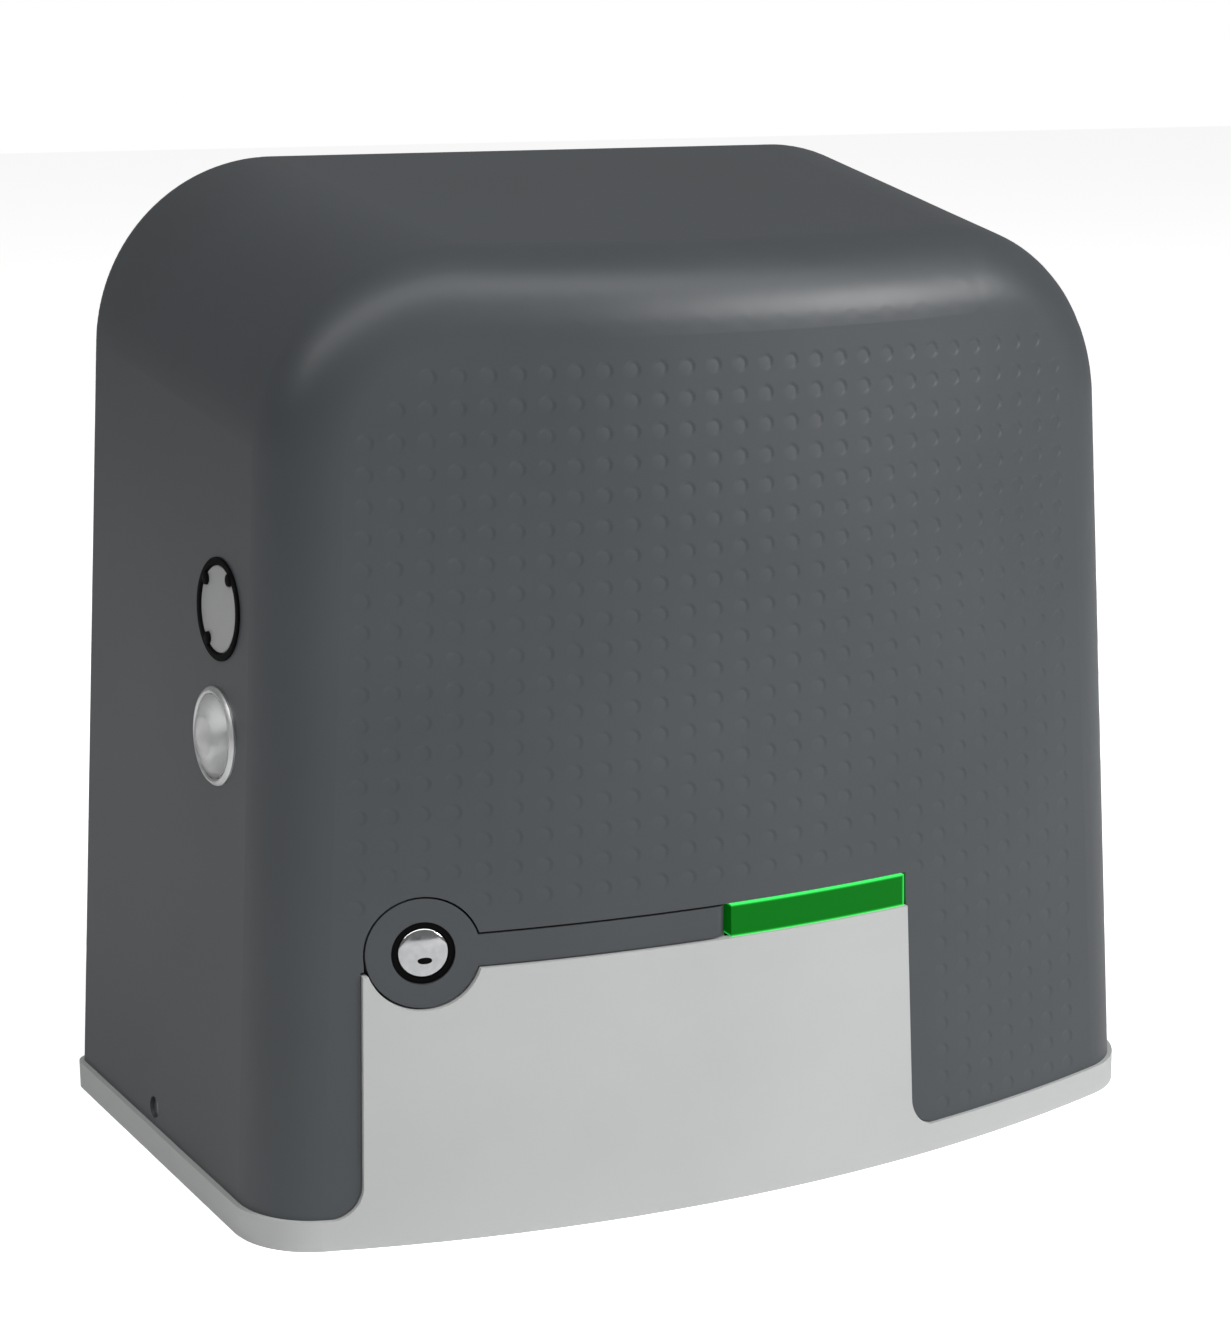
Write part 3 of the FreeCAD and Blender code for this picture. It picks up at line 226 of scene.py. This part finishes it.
for nodeName in ("release_lever", "base_housing"):
    rounding = nodes[nodeName].modifiers.new("rounded edges", "BEVEL")
    rounding.width = edges["width"]
    rounding.segments = edges["segments"]
    rounding.limit_method = "ANGLE"
    rounding.angle_limit = edges["angle"]
    rounding.harden_normals = True
print("materials ready")


# ---- cover: the CAD shell with its bowed front drawn anew, dimples and all

cover = {
    "bowRadius": 457 * mm, "lean": math.radians(2.44), "front": -104.8 * mm,
    "dimpleTop": 248.32 * mm, "dimplePitch": (8.219 * mm, 8.686 * mm), "fan": 0.1179 / (256.5 * mm),
    "dimpleMiddle": 2.5 * mm, "columns": 29, "rows": 28, "dimpleRadius": 2.9 * mm,
    "dimpleDepth": 0.5 * mm, "deepSide": math.radians(42), "fallPower": 1.8, "wallStart": 0.52,
    "ringShares": (0.3, 0.52, 0.7, 0.86, 1.02), "segments": 16, "edgeMargin": 4.2 * mm,
    "leverTop": 93 * mm, "batch": 4000,
    # points between the dimples: from, to and pitch in mm, then how far they keep away
    "gridX": (-160, 160, 6.0), "gridZ": (8, 290, 6.0), "gridGap": 4.6 * mm, "gridMargin": 1.5 * mm,
}


def frontDepth(x, z):
    """cylinder of bowRadius about an axis that leans back: its y at x and z"""
    lean, radius = cover["lean"], cover["bowRadius"]
    axis = cover["front"] + radius / math.cos(lean)
    return axis + z * math.tan(lean) - np.sqrt(radius ** 2 - x ** 2) / math.cos(lean)


def nodeArrays(name):
    """merged vertices, triangles and corner normals of a CAD node"""
    mesh = nodes[name].data
    points = np.zeros(len(mesh.vertices) * 3, np.float32)
    mesh.vertices.foreach_get("co", points)
    corners = np.zeros(len(mesh.loops), np.int32)
    mesh.loops.foreach_get("vertex_index", corners)
    normals = np.zeros(len(mesh.loops) * 3, np.float32)
    mesh.corner_normals.foreach_get("vector", normals)
    points = points.reshape(-1, 3)
    first, inverse = np.unique(np.round(points / 2e-6).astype(np.int64), axis=0,
                               return_index=True, return_inverse=True)[1:]
    triangles = inverse.reshape(-1)[corners].reshape(-1, 3)
    return points[first].astype(float), triangles, normals.reshape(-1, 3, 3)


def dimpleCentres():
    """rows one pitch apart whose columns fan out downwards"""
    row, column = np.meshgrid(np.arange(cover["rows"]), np.arange(cover["columns"]), indexing="ij")
    z = cover["dimpleTop"] - row * cover["dimplePitch"][1]
    middle = (cover["columns"] - 1) / 2
    spread = 1 + cover["fan"] * (cover["dimpleTop"] - z)
    x = cover["dimpleMiddle"] + (column - middle) * cover["dimplePitch"][0] * spread
    cornerCut = row + np.minimum(column, cover["columns"] - 1 - column) >= 2
    return np.column_stack([x[cornerCut], z[cornerCut]])


def pressed(x, z, centres):
    """
    how far the dimples sink the front: depth times fall to the power of fallPower times wall. Fall runs
    from 0 at the lower left rim to 1 at the upper right one, and wall is a half cosine that runs from 1
    at wallStart of the radius to 0 at the rim
    """
    sunk = np.zeros(len(x))
    radius, side = cover["dimpleRadius"], cover["deepSide"]
    for start in range(0, len(x), cover["batch"]):
        part = slice(start, start + cover["batch"])
        across, up = x[part, None] - centres[:, 0], z[part, None] - centres[:, 1]
        nearest = np.hypot(across, up).argmin(axis=1)
        rows = np.arange(len(nearest))
        across, up = across[rows, nearest] / radius, up[rows, nearest] / radius
        fall = 0.5 + 0.5 * (across * math.cos(side) + up * math.sin(side))
        wall = np.clip((np.hypot(across, up) - cover["wallStart"]) / (1 - cover["wallStart"]), 0, 1)
        fallen = cover["dimpleDepth"] * np.clip(fall, 0, 1) ** cover["fallPower"]
        sunk[part] = fallen * (0.5 + 0.5 * np.cos(math.pi * wall))
    return sunk


def buildCover():
    """cuts the flat front out of the CAD shell and meshes it anew, dimpled, to the same rim"""
    points, faces, normals = nodeArrays("cover")
    onFront = np.abs(points[:, 1] - frontDepth(points[:, 0], points[:, 2])) < 0.03 * mm
    flat = onFront[faces].all(axis=1) & (normals[:, :, 1].mean(axis=1) < -0.9)
    inside = faces[flat]
    edges = np.sort(np.concatenate([inside[:, [0, 1]], inside[:, [1, 2]], inside[:, [2, 0]]]), axis=1)
    pairs, counts = np.unique(edges, axis=0, return_counts=True)
    rim = pairs[counts == 1]
    rimPoints, rimEdges = np.unique(rim, return_inverse=True)
    rimEdges = rimEdges.reshape(-1, 2)
    outline = points[rimPoints][:, [0, 2]]
    starts, ends = outline[rimEdges[:, 0]], outline[rimEdges[:, 1]]

    def distanceToRim(spots):
        along = ends - starts
        share = np.einsum("nej,ej->ne", spots[:, None] - starts, along) / (along ** 2).sum(axis=1)
        foot = starts + np.clip(share, 0, 1)[..., None] * along
        return np.linalg.norm(spots[:, None] - foot, axis=2).min(axis=1)

    def within(spots):
        """odd number of rim edges crossed by a ray along x"""
        above = (starts[:, 1] > spots[:, 1, None]) != (ends[:, 1] > spots[:, 1, None])
        lift = np.where(ends[:, 1] == starts[:, 1], 1, ends[:, 1] - starts[:, 1])
        across = starts[:, 0] + (spots[:, 1, None] - starts[:, 1]) / lift * (ends[:, 0] - starts[:, 0])
        return (above & (across > spots[:, 0, None])).sum(axis=1) % 2 == 1

    centres = dimpleCentres()
    kept = within(centres) & (distanceToRim(centres) > cover["edgeMargin"])
    kept &= (centres[:, 1] > cover["leverTop"]) | (centres[:, 0] > 0)
    centres = centres[kept]
    angle = np.arange(cover["segments"]) * 2 * math.pi / cover["segments"]
    rings = []
    for index, share in enumerate(cover["ringShares"]):
        turn = angle + index % 2 * math.pi / cover["segments"]
        ring = np.stack([np.cos(turn), np.sin(turn)], axis=1) * share * cover["dimpleRadius"]
        rings.append((centres[:, None] + ring).reshape(-1, 2))
    gridX, gridZ = np.meshgrid(np.arange(*cover["gridX"]) * mm, np.arange(*cover["gridZ"]) * mm)
    grid = np.column_stack([gridX.ravel(), gridZ.ravel()])
    gap = np.hypot(grid[:, None, 0] - centres[:, 0], grid[:, None, 1] - centres[:, 1]).min(axis=1)
    grid = grid[gap > cover["gridGap"]]
    grid = grid[within(grid)]
    grid = grid[distanceToRim(grid) > cover["gridMargin"]]
    spots = np.concatenate([outline, centres] + rings + [grid])
    result = geometry.delaunay_2d_cdt([Vector(spot) for spot in spots], rimEdges.tolist(), [], 1,
                                      1e-9)
    flatPoints = np.array([list(spot) for spot in result[0]])
    newFaces = np.array(result[2])
    origin = np.array([item[0] if item else -1 for item in result[3]])
    x, z = flatPoints[:, 0], flatPoints[:, 1]
    step = 0.02 * mm

    def skin(x, z):
        return frontDepth(x, z) + pressed(x, z, centres)

    fresh = np.column_stack([x, skin(x, z), z])
    slopeX = (skin(x + step, z) - skin(x - step, z)) / (2 * step)
    slopeZ = (skin(x, z + step) - skin(x, z - step)) / (2 * step)
    outwards = np.column_stack([slopeX, -np.ones(len(x)), slopeZ])
    outwards /= np.linalg.norm(outwards, axis=1)[:, None]
    numbers = np.arange(len(fresh)) + len(points)
    onRim = (origin >= 0) & (origin < len(outline))
    numbers[onRim] = rimPoints[origin[onRim]]
    first, second, third = fresh[newFaces].transpose(1, 0, 2)
    side = np.cross(second - first, third - first)
    newFaces[side[:, 1] > 0] = newFaces[side[:, 1] > 0][:, ::-1]
    allPoints = np.concatenate([points, fresh])
    allFaces = np.concatenate([faces[~flat], numbers[newFaces]])
    allNormals = np.concatenate([normals[~flat], outwards[newFaces]])
    used, allFaces = np.unique(allFaces, return_inverse=True)
    print("cover:", len(centres), "dimples", len(allFaces.reshape(-1, 3)), "triangles")
    return meshPiece("cover_shell", allPoints[used], allFaces.reshape(-1, 3), "root",
                     finishes["cover_plastic"], ["cover"], allNormals.reshape(-1, 3))


buildCover()


# ---- helpers for turned pieces

sharpAngle = math.radians(38)


def merged(points, faces):
    """joins points that coincide, drops triangles that collapse and turns the rest outwards"""
    first, inverse = np.unique(np.round(points / 1e-7).astype(np.int64), axis=0, return_index=True,
                               return_inverse=True)[1:]
    faces = inverse.reshape(-1)[faces]
    whole = (faces != np.roll(faces, -1, axis=1)).all(axis=1)
    points, faces = points[first], faces[whole]
    corners = points[faces] - points.mean(axis=0)
    volume = np.einsum("ij,ij->i", corners[:, 0], np.cross(corners[:, 1], corners[:, 2])).sum()
    return points, faces if volume > 0 else faces[:, ::-1]


def gridFaces(rows, columns, closedRows=False):
    """triangles of a grid whose columns close on themselves, and its rows too if asked"""
    row = np.arange(rows if closedRows else rows - 1)[:, None]
    column = np.arange(columns)
    a, b = row * columns + column, row * columns + (column + 1) % columns
    c, d = (row + 1) % rows * columns + (column + 1) % columns, (row + 1) % rows * columns + column
    return np.concatenate([np.stack([a, b, c], -1).reshape(-1, 3), np.stack([a, c, d], -1).reshape(-1, 3)])


def turnedMesh(profile, place, segments=72):
    """surface of revolution: point = centre + out * depth + (along cos a + up sin a) * radius"""
    centre, along, up, out = place
    depth, radius = np.array(profile).T * mm
    angle = np.arange(segments) * 2 * math.pi / segments
    spoke = np.cos(angle)[:, None] * along + np.sin(angle)[:, None] * up
    points = centre + depth[:, None, None] * out + radius[:, None, None] * spoke
    closed = profile[0][1] > 0
    return merged(points.reshape(-1, 3), gridFaces(len(profile), segments, closed))


def addTurned(name, profile, place, body, slot, replaced=(), finish=None, segments=72):
    """piece turned from (depth, radius) pairs in mm"""
    points, faces = turnedMesh(profile, place, segments)
    piece = meshPiece(name, points, faces, body, finishes[finish or slot], replaced)
    piece.data.set_sharp_from_angle(angle=sharpAngle)
    return piece


# ---- left wall: blanking plug and sensor lens

wall = {"half": 163.8, "draft": math.radians(3.6), "taper": math.radians(5.47), "back": 67.3,
        "depth": -37.5}
plug = {
    "height": 179.4,
    "gasket": [(0.02, 12.7), (0.02, 14.9), (0.5, 14.9), (0.8, 14.6), (0.8, 13.2), (0.3, 12.7)],
    "disc": [(0.3, 0), (0.3, 12.1), (0.2, 12.4), (0.0, 12.55), (-1.2, 12.6), (-9, 12.1), (-9, 10.6),
             (-2.2, 10.6), (-2.2, 0)],
    "catch": [(1.2, 0), (1.2, 1.4), (1.0, 1.8), (0.32, 1.9), (0.32, 0)],
    "catchSpots": ((2.44, 11.5), (4.12, 11.5), (0.91, 12.3)),  # angle in radians and reach in mm
}
lens = {
    "height": 142.3,
    "bezel": [(0.02, 12.3), (0.02, 14.4), (0.6, 14.4), (1.3, 13.8), (1.5, 13.1), (1.2, 12.5)],
    "bowlRadius": 11.9, "bowlDepth": 7.6, "bowlRise": 7.4, "ripple": 0.35, "rippleRate": 1.9,
    "back": [(-0.6, 12.05), (-8.4, 12.05), (-8.4, 0)],
    "diode": [(-2.4, 0), (-2.6, 1.2), (-3.4, 2.1), (-4.8, 2.5), (-7.9, 2.5), (-7.9, 0)],
}


def wallPlace(depth, height):
    """centre and axes of a fitting: out of the left wall, along it and up it"""
    drafted, tapered = math.tan(wall["draft"]), math.tan(wall["taper"])
    across = -(wall["half"] - drafted * height - tapered * (wall["back"] - depth))
    out = np.array([-1, -tapered, drafted])
    out /= np.linalg.norm(out)
    along = np.cross([0, 0, 1], out)
    along /= np.linalg.norm(along)
    return np.array([across, depth, height]) * mm, along, np.cross(out, along), out


def buildWallFittings():
    plugPlace = wallPlace(wall["depth"], plug["height"])
    lensPlace = wallPlace(wall["depth"], lens["height"])
    addTurned("plug_gasket", plug["gasket"], plugPlace, "root", "black_plastic", ["plug_ring"])
    addTurned("plug_disc", plug["disc"], plugPlace, "root", "base_plastic", ["blanking_plug"], "plug_grey")
    centre, along, up, out = plugPlace
    for number, (turn, reach) in enumerate(plug["catchSpots"]):
        spoke = along * math.cos(turn) + up * math.sin(turn)
        at = (centre + spoke * reach * mm, spoke, np.cross(out, spoke), out)
        addTurned("plug_catch_%d" % number, plug["catch"], at, "root", "black_plastic", segments=24)
    addTurned("lens_bezel", lens["bezel"], lensPlace, "root", "black_plastic", ["lens_ring"], "reflector")
    # depth = rise * (radius / bowlRadius) ** 2 - bowlDepth, plus a shallow sine ripple along the radius
    radius = np.linspace(0, lens["bowlRadius"], 26)
    bowl = lens["bowlRise"] * (radius / lens["bowlRadius"]) ** 2 - lens["bowlDepth"]
    bowl = bowl + lens["ripple"] * np.sin(radius * lens["rippleRate"])
    addTurned("lens_reflector", list(zip(bowl, radius)) + lens["back"], lensPlace, "root",
              "cast_aluminium", finish="reflector")
    addTurned("lens_diode", lens["diode"], lensPlace, "root", "black_plastic", finish="plug_grey")


buildWallFittings()


# ---- lock: polished domed face, with a black slug set in it as the painted shade of its keyway

lock = {
    "across": -102.4, "height": 86.4, "radius": 7.3, "rise": 1.0, "seat": 0.38,
    # profile of a black slug set into the dome: painted shade of the key slot
    "keywayShade": [(0.5, 0), (0.5, 0.8), (0.42, 1.0), (-0.4, 1.0), (-0.4, 0)],
    "keywayShadePlace": (0.3, -2.0, 0.55),  # along, up and out of the lock's centre, mm
    "keywayShadeStretch": 1.1,
}


def lockPlace(depth):
    """centre and axes on the lock's axis: out of the front, to the right and up"""
    radius = cover["bowRadius"] / mm
    inwards = np.array([-lock["across"], math.sqrt(radius ** 2 - lock["across"] ** 2), 0]) / radius
    front = float(frontDepth(np.float64(lock["across"] * mm), lock["height"] * mm))
    centre = np.array([lock["across"] * mm, front, lock["height"] * mm]) + inwards * depth * mm
    return centre, np.array([inwards[1], -inwards[0], 0]), np.array([0, 0, 1.0]), -inwards


def buildLock():
    # dome: depth = rise * (1 - (radius / lock radius) ** 2), its rim rounded into a short collar
    radius = np.linspace(0, lock["radius"] - 0.5, 14)
    dome = list(zip(lock["rise"] * (1 - (radius / lock["radius"]) ** 2), radius))
    rim = [(-0.1, lock["radius"] - 0.15), (-0.4, lock["radius"])]
    collar = [(-0.9, lock["radius"]), (-0.9, 0)]
    addTurned("lock_face", dome + rim + collar, lockPlace(lock["seat"]), "lock", "chrome_lock")
    centre, along, up, out = lockPlace(lock["seat"])
    sideways, upwards, outwards = np.array(lock["keywayShadePlace"]) * mm
    at = (centre + up * upwards + along * sideways + out * outwards, along, up, out)
    points, faces = turnedMesh(lock["keywayShade"], at, 32)
    # painted shade of the keyway: a black slug, round and stretched sideways by the keyway stretch share
    # of its own width, standing where the dark slot is
    offset = (points - at[0]) @ along
    points = points + np.outer(offset * lock["keywayShadeStretch"], along)
    piece = meshPiece("lock_keyway_shade", points, faces, "lock", finishes["black_plastic"])
    piece.data.set_sharp_from_angle(angle=sharpAngle)


buildLock()
print("fittings ready")


# ---- floor, light and camera

studio = {
    "paper": "#f4f4f4", "paperLift": 0.75, "floorReach": 6.0, "skyStrength": 0.19,
    "lamps": {
        "key": {"place": (1.75, -2.0, 1.4), "size": (1.0, 1.0), "power": 46},
        "strip": {"place": (-0.15, -0.75, 1.9), "size": (3.4, 0.8), "power": 22},
        "rim": {"place": (-1.85, -0.2, 1.6), "size": (0.4, 0.7), "power": 4},
    },
}


def addLamp(name, lamp):
    """soft rectangular lamp that looks at the middle of the machine"""
    light = bpy.data.lights.new(name, "AREA")
    light.shape = "RECTANGLE"
    light.size, light.size_y = lamp["size"]
    light.energy = lamp["power"]
    holder = bpy.data.objects.new(name, light)
    holder.location = lamp["place"]
    aim = Vector(lamp["place"]) - Vector((0, 0, 0.15))
    holder.rotation_euler = aim.to_track_quat("Z", "Y").to_euler()
    bpy.context.scene.collection.objects.link(holder)


def whitePaper():
    """diffuse paper that the camera and glass see lifted to white, with its shadow kept"""
    material, tree, shader = newMaterial("white paper")[:3]
    tree.nodes.remove(shader)
    seen = addNode(tree, "ShaderNodeLightPath")
    direct = addNode(tree, "ShaderNodeMath", {0: seen.outputs["Is Camera Ray"],
                                              1: seen.outputs["Is Transmission Ray"]}, operation="MAXIMUM")
    lift = addNode(tree, "ShaderNodeMath", {0: direct.outputs[0], 1: studio["paperLift"]},
                   operation="MULTIPLY")
    paper = addNode(tree, "ShaderNodeBsdfDiffuse", {"Color": linear(studio["paper"])})
    glow = addNode(tree, "ShaderNodeEmission", {"Strength": lift.outputs[0]})
    both = addNode(tree, "ShaderNodeAddShader", {0: paper.outputs[0], 1: glow.outputs[0]})
    output = next(node for node in tree.nodes if node.type == "OUTPUT_MATERIAL")
    tree.links.new(both.outputs[0], output.inputs["Surface"])
    return material


def buildStudio():
    mesh = bpy.data.meshes.new("floor")
    reach = studio["floorReach"]
    corners = [(-reach, -reach, 0), (reach, -reach, 0), (reach, reach, 0), (-reach, reach, 0)]
    mesh.from_pydata(corners, [], [(0, 1, 2, 3)])
    mesh.materials.append(whitePaper())
    floor = bpy.data.objects.new("floor", mesh)
    bpy.context.scene.collection.objects.link(floor)
    world = bpy.data.worlds.new("studio")
    bpy.context.scene.world = world
    world.use_nodes = True
    tree = world.node_tree
    tree.nodes.clear()
    seen = addNode(tree, "ShaderNodeLightPath")
    strength = addNode(tree, "ShaderNodeMapRange", {"Value": seen.outputs["Is Camera Ray"],
                                                    "To Min": studio["skyStrength"], "To Max": 1.0})
    back = addNode(tree, "ShaderNodeBackground", {"Color": (1, 1, 1, 1), "Strength": strength.outputs[0]})
    addNode(tree, "ShaderNodeOutputWorld", {"Surface": back.outputs[0]})
    for name, lamp in studio["lamps"].items():
        addLamp(name, lamp)


shot = {
    "place": (-363.88 * mm, -758.28 * mm, 344.99 * mm), "azimuth": -25.681, "elevation": 13.599,
    "focal": 73.218, "sensor": 36, "nearest": 10 * mm,
}


def buildCamera():
    camera = bpy.data.cameras.new("camera")
    camera.lens = shot["focal"]
    camera.sensor_width = shot["sensor"]
    camera.clip_start = shot["nearest"]
    holder = bpy.data.objects.new("camera", camera)
    holder.location = shot["place"]
    holder.rotation_euler = (math.radians(90 - shot["elevation"]), 0, math.radians(shot["azimuth"]))
    bpy.context.scene.collection.objects.link(holder)
    bpy.context.scene.camera = holder


buildStudio()
buildCamera()
bpy.context.scene.view_settings.view_transform = "Standard"
print("studio ready")
